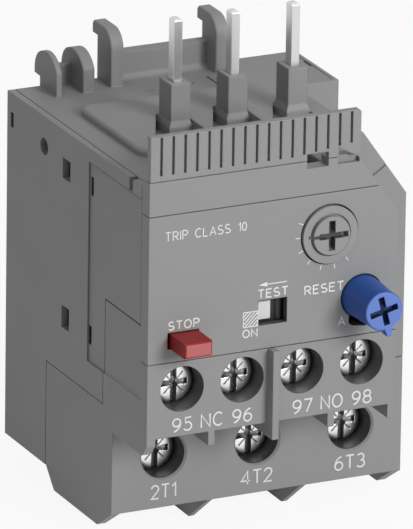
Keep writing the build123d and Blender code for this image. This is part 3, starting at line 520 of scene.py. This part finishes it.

# %% [markdown]
# ## The case's own openings
# The mouldings of the case share one grey, but each has painted shade in its own
# openings: the screw holes in the terminal block, the windows of the controls in the front
# plate, and the slots and seams of the side. A thin box that starts outside the surface
# paints shade on the lips of a seam as well, which is how a seam shows in the photo. One
# step in the block's side renders darker than the real one, and a tone above 1 paints
# light on it to make up for it. The housing's edges are rounder than the others, because
# its hooks and posts have no sharp corners.

# %% Shade the case
load_pitch, aux_pitch = 14.52, 9.2
load_poles = [7.98 + load_pitch * k for k in range(3)]
aux_poles = [5.325 + aux_pitch * k for k in range(4)]
load_screw_z, aux_screw_z = 12.18, 26.37
hole_reach = 3.34
# Painted shade: the walls of the screw holes get a darker colour, darkest in the deep load row.
hole_rows = [
    (load_poles[0], load_screw_z, load_pitch, hole_reach, 0.12),
    (aux_poles[0], aux_screw_z, aux_pitch, hole_reach, shade),
]
deep_shade, seam_shade = 0.1, 0.3
# Painted shade: each box darkens the colour in an opening or along a seam; the last box of the
# terminal block paints light instead.
case_rooms = {
    "front_plate": [
        ((0.1, 38.15), (0.05, 3.0), (30.2, 47.2), shade),
        ((0.1, 34.8), (0.05, 3.0), (47.0, 52.3), shade),
    ],
    "side_cover": [
        ((0.1, 1.2), (2.25, 2.6), (35.4, 55.85), 0.05),                # front edge
        ((-0.2, 1.2), (2.2, 3.1), (35.4, 54.0), 0.5),                  # lip behind the plate
        ((-0.2, 1.2), (14.3, 14.58), (19.9, 35.6), seam_shade),         # upright seams
        ((-0.2, 1.2), (33.2, 33.5), (4.45, 20.1), seam_shade),
        ((-0.2, 0.5), (2.4, 19.9), (53.77, 54.1), seam_shade),          # inset panel's top
        ((0.08, 0.5), (19.75, 19.95), (24.5, 54.0), seam_shade),        # and its back edge
        ((0.2, 1.3), (18.6, 19.5), (49.1, 52.0), deep_shade),                # latch slots
        ((0.2, 1.3), (18.8, 19.8), (27.1, 30.0), deep_shade),
        ((0.05, 1.3), (45.0, 46.2), (50.8, 53.2), 0.4),                # and the rear one
    ],
    "terminal_block": [
        ((1.2, 38.15), (0.05, 14.3), (30.2, 30.6), shade),             # seam under the plate
        ((0.1, 1.2), (14.4, 33.4), (19.8, 20.1), 0.05),                # level seams of the side
        ((0.1, 1.2), (2.3, 14.4), (35.3, 35.6), 0.05),
        ((38.3, 44.9), (11.3, 33.4), (21.45, 21.75), shade),           # seam of the strip
        # Painted light: a tone above 1 lightens the step's colour.
        ((-0.3, 0.4), (2.3, 14.3), (24.4, 24.85), 1.5),                # step made paler
    ],
}
for name, rooms in case_rooms.items():
    rows = hole_rows if name == "terminal_block" else ()
    finish = plastic("case grey " + name, case_colour, rows=rows, rooms=rooms, **case)
    nodes[name].data.materials[0] = finish
nodes["housing"].data.materials[0] = plastic(
    "case grey housing", case_colour, rough=0.55, edge=0.42, edge_highlight=0.02
)
print("openings:", {name: len(rooms) for name, rooms in case_rooms.items()})

# %% [markdown]
# ## New pieces
# Each new piece is one mesh, worked out as whole arrays of points and faces. Its object
# stays at the origin, and it rides on the CAD body that carries it, so that it follows
# every joint.


# %% Helper for new pieces
def add_piece(name, points, faces, material, body):
    """Object at the origin from points in frame metres and faces, riding on a CAD body."""
    mesh = bpy.data.meshes.new(name)
    mesh.from_pydata(points.tolist(), [], faces)
    mesh.materials.append(material)
    obj = bpy.data.objects.new(name, mesh)
    scene.collection.objects.link(obj)
    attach(obj, body)
    return obj


# %% [markdown]
# ## Terminal screws
# The seven screws are the brightest spots of the picture. A nickel plated combination
# head is domed, has a slot right across it and a cross that takes two kinds of driver,
# and four fine ticks between the arms. All of that is one surface over the disc of the
# head. With u across, v up and $r^2 = u^2 + v^2$, the face lies behind its highest point by
# $$depth(u, v) = \max(g (r / R)^2 + h (r / R)^{14},\; a\,[|u| < s],\; b(u)\,[|v| < c + k|u|])$$
# and the brackets are steps made slightly soft. The shank goes on with the same rings: its
# radius is $r - t\,|2\,frac(y / p - \theta / 2\pi) - 1|$, a thread of pitch p.


# %% Shape a screw's head
def step_down(distance, edge, soft=0.05):
    """1 inside an edge and 0 outside it, with a short slope between."""
    return np.clip((edge - distance) / soft + 0.5, 0.0, 1.0)


def head_depth(u, v, radius):
    """Depth of a screw head's face behind its highest point, in mm, and the cut alone.

    The dome falls by 0.06 and 0.30 times the 2nd and 14th power of r / radius. The cut
    is the deepest of slot, arm and round heart, and the ticks lie where there is no cut.
    """
    r = np.hypot(u, v)
    dome = 0.06 * (r / radius) ** 2 + 0.30 * (r / radius) ** 14
    slot = 1.05 * step_down(abs(u), 0.43)
    arm_edge = 0.27 + 0.09 * abs(u)
    arm = (1.25 - 0.22 * abs(u)) * step_down(abs(v), arm_edge) * step_down(abs(u), 2.05)
    heart = 1.3 * step_down(r, 0.75)
    cut = np.maximum(np.maximum(slot, arm), heart)
    diagonal = abs(abs(u) - abs(v)) / np.sqrt(2)
    tick = 0.16 * step_down(diagonal, 0.07) * step_down(abs(r - 1.45), 0.6) * (cut < 0.01)
    return np.maximum(dome, cut) + tick, cut + tick


head_r, head_t, spokes, head_rings = 3.0, 1.5, 224, 52
theta = np.arange(spokes) * 2 * pi / spokes
ring_r = np.linspace(0.06, head_r, head_rings)[:, None]
face_depth, face_cut = head_depth(ring_r * np.cos(theta), ring_r * np.sin(theta), head_r)
print("deepest cut in mm:", round(float(face_depth.max()), 2))

# %% [markdown]
# The whole screw is one skin of rings round its axis: the face from the middle outwards,
# the rim of the head, the thread and the flat end, with a point to close each end. The
# faces that lie in the cuts get a darker colour, painted shade, and a rougher finish
# than the rest of the screw.


# %% Turn the screws
def terminal_screw(name, x, z, head_d, shank_r, tip_d, pitch):
    """Screw in the place of a CAD node: domed head, threaded shank, closed at its tip.

    Each row of the arrays is one ring of points round the axis, from the middle of the
    head's face to the tip: radius r, and depth y behind head_d. On the shank the radius
    is shank_r less 0.28 times |2 f - 1|, where f is the fraction of y / pitch less a turn.
    """
    length = tip_d - head_d
    shank_y = np.arange(head_t, length - 0.3, pitch / 5)[:, None]
    turn = shank_y / pitch - theta / (2 * pi)
    thread = 0.28 * abs(2 * (turn - np.floor(turn)) - 1)
    ring = np.ones((1, spokes))
    r = np.vstack([ring_r * ring, head_r * ring, shank_r - thread, (shank_r - 0.35) * ring])
    y = np.vstack([face_depth, head_t * ring, shank_y * ring, length * ring])
    points = place(x + r * np.cos(theta), head_d + y, z + r * np.sin(theta)).reshape(-1, 3)
    nose, tip = len(points), len(points) + 1
    points = np.vstack([points, place(x, head_d + y[0].max(), z), place(x, tip_d, z)])

    a = np.arange(nose).reshape(len(r), spokes)
    b = np.roll(a, -1, axis=1)
    middle = np.stack([np.full(spokes, nose), a[0], b[0]], -1)
    walls = np.stack([a[:-1], a[1:], b[1:], b[:-1]], -1).reshape(-1, 4)
    end = np.stack([b[-1], a[-1], np.full(spokes, tip)], -1)
    faces = middle.tolist() + walls.tolist() + end.tolist()
    in_cut = np.zeros(len(faces), int)
    in_cut[:spokes] = 1
    in_cut[spokes:spokes + face_cut.size] = face_cut.ravel() > 0.1

    obj = add_piece("turned_" + name, points, faces, finishes["nickel"], name)
    obj.data.materials.append(slot_shade)
    obj.data.polygons.foreach_set("material_index", in_cut)
    obj.data.update()
    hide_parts(name)


# Painted shade: the faces in the cuts get a darker metal.
slot_shade = metal("screw slots in shade", (0.50, 0.50, 0.51), rough=0.35, bump=0.1)
for k, x in enumerate(load_poles, 1):
    name = f"load_screw_{k}"
    terminal_screw(name, x, load_screw_z, head_d=14.2, shank_r=1.9, tip_d=22.05, pitch=0.7)
for k, x in enumerate(aux_poles, 1):
    name = f"aux_screw_{k}"
    terminal_screw(name, x, aux_screw_z, head_d=2.8, shank_r=1.5, tip_d=6.75, pitch=0.6)
print("screws turned:", len(load_poles) + len(aux_poles))

# %% [markdown]
# ## Reset spring
# Behind the blue knob a small compression spring pushes the reset stem out again. The
# CAD spring has square wire, which is easy to sweep and to collide with. Here the wire
# is round: a circle of radius a is carried along the helix
# $c(t) = (x_0 + R \cos t,\; y_0 - p\,t / 2\pi,\; z_0 + R \sin t)$, standing square to
# the wire.


# %% Wind the spring
def wound_spring(name, x, z, back_d, length, radius, wire, turns):
    """Helix of round wire along Y whose back end stands at depth back_d.

    At angle t the wire's middle is radius from the axis and climb times t nearer the
    front. Round it goes a circle: its cosine along the coil's radius, and its sine along
    the direction that is square to both the radius and the wire.
    """
    steps, sides = 36 * turns + 1, 12
    t = np.linspace(0, 2 * pi * turns, steps)[:, None]
    around = np.arange(sides)[None, :] * 2 * pi / sides
    climb = (length - 2 * wire) / (2 * pi * turns)
    tilt = np.arctan2(climb, radius)
    out = radius + wire * np.cos(around)
    swing = wire * np.sin(around) * np.sin(tilt)
    depth = back_d - wire - climb * t + wire * np.sin(around) * np.cos(tilt)
    points = place(
        x + out * np.cos(t) - swing * np.sin(t), depth, z + out * np.sin(t) + swing * np.cos(t)
    ).reshape(-1, 3)
    a = np.arange(steps * sides).reshape(steps, sides)
    b = np.roll(a, -1, axis=1)
    walls = np.stack([a[:-1], b[:-1], b[1:], a[1:]], -1).reshape(-1, 4)
    faces = walls.tolist() + [a[0, ::-1].tolist(), a[-1].tolist()]
    steel = finishes["spring_steel"]
    obj = add_piece("wound_" + name, points, faces, steel, "frame")
    obj.data.polygons.foreach_set("use_smooth", [True] * len(faces))
    obj.data.update()
    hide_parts(name)
    return obj


spring_back, spring_length, reset_travel = 8.9, 5.4, 2.5
spring = wound_spring(
    "reset_spring", knob_x, knob_z, spring_back, spring_length, radius=2.45, wire=0.24, turns=4
)
tuple(place(knob_x, spring_back, knob_z))
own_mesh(spring)
print("spring points:", len(spring.data.vertices))

# %% [markdown]
# ## Printed marks
# The numbers at the terminals and the words at the controls are thin white print in a
# plain engraver's alphabet: every letter is drawn by one pen of even width. A letter is
# a few strokes on a grid one unit high, and a stroke is straight or a piece of an ellipse
# with the points $(c_x + r_x \cos t,\; c_z + r_z \sin t)$.


# %% An alphabet for one pen
def arc(cx, cz, rx, rz, start, stop, steps=16):
    """Points (cx + rx cos t, cz + rz sin t) with t between two angles in degrees."""
    t = np.radians(np.linspace(start, stop, steps))
    return np.stack([cx + rx * np.cos(t), cz + rz * np.sin(t)], 1).tolist()


six = [arc(0.60, 0.33, 0.59, 0.67, 100, 182), arc(0.30, 0.30, 0.29, 0.30, 0, 360, 24)]
bowl = [(0.0, 0.0), (0.0, 1.0)] + arc(0.27, 0.73, 0.28, 0.27, 90, -90) + [(0.0, 0.46)]
letters = {
    "0": (0.58, [arc(0.29, 0.50, 0.29, 0.50, 0, 360, 28)]),
    "1": (0.28, [[(0.0, 0.76), (0.27, 1.0), (0.27, 0.0)]]),
    "2": (0.58, [arc(0.29, 0.72, 0.28, 0.28, 168, -38) + [(0.01, 0.0), (0.58, 0.0)]]),
    "3": (0.57, [arc(0.27, 0.75, 0.25, 0.25, 150, -88), arc(0.27, 0.26, 0.30, 0.26, 88, -150)]),
    "4": (0.66, [[(0.48, 0.0), (0.48, 1.0), (0.0, 0.27), (0.66, 0.27)]]),
    "5": (0.58, [[(0.54, 1.0), (0.12, 1.0), (0.07, 0.53)] + arc(0.28, 0.32, 0.30, 0.32, 132, -152)]),
    "6": (0.60, six),
    "7": (0.56, [[(0.0, 1.0), (0.56, 1.0), (0.18, 0.0)]]),
    "8": (0.60, [arc(0.30, 0.76, 0.25, 0.24, 0, 360, 24), arc(0.30, 0.27, 0.29, 0.27, 0, 360, 24)]),
    "9": (0.60, [np.array((0.60, 1.0)) - stroke for stroke in six]),
    "A": (0.66, [[(0.0, 0.0), (0.33, 1.0), (0.66, 0.0)], [(0.11, 0.33), (0.55, 0.33)]]),
    "C": (0.64, [arc(0.36, 0.50, 0.36, 0.50, 48, 312, 24)]),
    "E": (0.52, [[(0.52, 1.0), (0.0, 1.0), (0.0, 0.0), (0.52, 0.0)], [(0.0, 0.52), (0.46, 0.52)]]),
    "I": (0.0, [[(0.0, 0.0), (0.0, 1.0)]]),
    "L": (0.48, [[(0.0, 1.0), (0.0, 0.0), (0.48, 0.0)]]),
    "N": (0.62, [[(0.0, 0.0), (0.0, 1.0), (0.62, 0.0), (0.62, 1.0)]]),
    "O": (0.72, [arc(0.36, 0.50, 0.36, 0.50, 0, 360, 32)]),
    "P": (0.55, [bowl]),
    "R": (0.58, [bowl, [(0.27, 0.46), (0.58, 0.0)]]),
    "S": (0.56, [arc(0.28, 0.745, 0.26, 0.255, 42, 270) + arc(0.28, 0.245, 0.28, 0.245, 88, -148)]),
    "T": (0.60, [[(0.0, 1.0), (0.60, 1.0)], [(0.30, 1.0), (0.30, 0.0)]]),
}
print("letters and digits:", "".join(letters))

# %% [markdown]
# The pen turns a stroke into a ribbon. Point i has the direction $t_i$, the mean of its two
# segments, and the ribbon's edges are $p_i \pm n_i w_i / (2 \cos \alpha_i)$, where $n_i$
# is square to $t_i$ and $\alpha_i$ is half the turn there, so that a line keeps its width
# round a corner. The width may change along the stroke, which makes an arrow head.

# %% Draw with the pen
print_white = plastic("print white", (0.90, 0.90, 0.90), rough=0.6, edge_highlight=0.0, bump=0.05, edge=0.02)
ink, sunk, layer = 0.03, 0.01, 0.008


def ribbon(path, first, last):
    """Left and right edge of a pen stroke whose width goes from first to last.

    Each point moves square to the mean of its two directions, by half the width over
    the cosine of half the corner, so that the line is as wide after a corner as before.
    """
    p = np.array(path, float)
    along = np.diff(p, axis=0)
    along /= np.linalg.norm(along, axis=1)[:, None]
    after = np.vstack([along, along[-1:]])
    mean = np.vstack([along[:1], along]) + after
    mean /= np.linalg.norm(mean, axis=1)[:, None]
    corner = np.clip((mean * after).sum(1), 0.55, 1.0)
    half = np.linspace(first, last, len(p)) / 2 / corner
    side = np.stack([-mean[:, 1], mean[:, 0]], 1) * half[:, None]
    return np.stack([p + side, p - side])


def draw(name, strokes, d):
    """Ink on a front face at depth d: strokes are (points in mm, first and last width).

    Strokes that cross lie at slightly different heights, so no two faces share a plane.
    A stroke of n points has four rows of them: the ribbon's two edges on top, then the
    same two just under the face. Each of the four quads goes on from point to point.
    """
    points, faces, base = [], [], 0
    for k, (path, first, last) in enumerate(strokes):
        rims = ribbon(path, first, last)
        depths = np.array([d - ink - layer * (k % 3), d + sunk])[:, None, None]
        points.append(place(rims[..., 0], depths, rims[..., 1]).reshape(-1, 3))
        n = rims.shape[1]
        left, right, left_low, right_low = 0, n, 2 * n, 3 * n
        quads = np.array([
            (left, right, right + 1, left + 1),
            (left_low, left_low + 1, right_low + 1, right_low),
            (left, left + 1, left_low + 1, left_low),
            (right, right_low, right_low + 1, right + 1),
        ])
        start = np.array([(left, left_low, right_low, right)])
        stop = np.array([(left, right, right_low, left_low)]) + n - 1
        walls = (np.arange(n - 1)[:, None, None] + quads).reshape(-1, 4)
        faces += (base + np.vstack([walls, start, stop])).tolist()
        base += 4 * n
    add_piece(name, np.vstack(points), faces, print_white, "frame")


print("ink stands", ink, "mm above the face")

# %% [markdown]
# A word is set by its middle, its height and its width over all, because those are what
# can be read off the relay with a ruler. The letters are put side by side with an even
# gap, and then the whole line is stretched to that size.


# %% Words and numbers
def lettering(text, x, z, height, width, pen):
    """Strokes of a text centred on x and z, as high and as wide over all as given."""
    gap, at, parts = 0.25, 0.0, []
    for sign in text:
        advance, strokes = letters[sign]
        parts += [np.array(stroke, float) + (at, 0.0) for stroke in strokes]
        at += advance + gap
    size = np.array([(width - pen) / (at - gap), height - pen])
    corner = np.array([x - (width - pen) / 2, z - (height - pen) / 2])
    return [(corner + part * size, pen, pen) for part in parts]


front, block_face = 0.0, 11.2
# Name, text, middle x, depth of the face, middle z, height, width and pen in mm
texts = [
    ("word_trip", "TRIP", 4.16, front, 48.95, 1.4, 3.5, 0.15),
    ("word_class", "CLASS", 9.68, front, 48.92, 1.4, 5.45, 0.15),
    ("word_10", "10", 14.2, front, 48.91, 1.3, 1.35, 0.15),
    ("word_reset", "RESET", 26.92, front, 38.12, 1.4, 6.15, 0.2),
    ("word_test", "TEST", 19.04, front, 38.6, 1.36, 4.75, 0.18),
    ("word_on", "ON", 15.6, front, 33.07, 1.25, 2.35, 0.18),
    ("word_stop", "STOP", 5.45, front, 35.85, 1.35, 4.8, 0.19),
    ("word_a", "A", 29.71, front, 32.87, 1.4, 1.15, 0.16),
    ("number_95", "95", 5.40, front, 21.1, 2.1, 3.1, 0.22),
    ("number_nc", "NC", 9.96, front, 21.15, 2.1, 3.45, 0.22),
    ("number_96", "96", 14.62, front, 21.1, 2.1, 3.1, 0.22),
    ("number_97", "97", 23.88, front, 21.1, 2.1, 3.1, 0.22),
    ("number_no", "NO", 28.4, front, 21.15, 2.1, 3.45, 0.22),
    ("number_98", "98", 33.07, front, 21.1, 2.1, 3.1, 0.22),
    ("number_2t1", "2T1", 8.02, block_face, 6.93, 2.2, 4.0, 0.23),
    ("number_4t2", "4T2", 22.45, block_face, 6.97, 2.2, 4.95, 0.23),
    ("number_6t3", "6T3", 37.0, block_face, 6.97, 2.2, 4.85, 0.23),
]
for name, text, x, d, z, height, width, pen in texts:
    draw(name, lettering(text, x, z, height, width, pen), d)
print("words and numbers:", len(texts))

# %% [markdown]
# The dial has seven tick marks round its left and lower side. The arrow shows which way
# the test slider goes, and the hatched square stands beside the window of its flag.

# %% Dial scale, arrow and hatched square
tick_from, tick_to, first_tick, tick_step = 4.5, 5.22, 154.9, 25.0
scale = []
for k in range(7):
    angle = radians(first_tick + tick_step * k)
    line = [(dial_x + r * cos(angle), dial_z + r * sin(angle)) for r in (tick_from, tick_to)]
    scale.append((line, 0.13, 0.13))
draw("dial_scale", scale, front)

arrow_z = 39.93
shaft = ([(17.9, arrow_z), (21.15, arrow_z)], 0.14, 0.14)
head = ([(16.9, arrow_z), (18.1, arrow_z)], 0.02, 0.66)
draw("test_arrow", [shaft, head], front)

left, low, side, hatch_step = 14.56, 34.0, 2.2, 0.56
far, high = left + side, low + side
outline = [(left, low), (far, low), (far, high), (left, high), (left, low)]
frame_lines = [(outline, 0.13, 0.13)]
for c in np.arange(-side + 0.35, side - 0.2, hatch_step):
    first = (left + max(0.0, -c), low + max(0.0, c))
    last = (left + min(side, side - c), low + min(side, side + c))
    frame_lines.append(([first, last], 0.16, 0.16))
draw("hatched_square", frame_lines, front)
print("ticks:", len(scale), "hatch lines:", len(frame_lines) - 1)
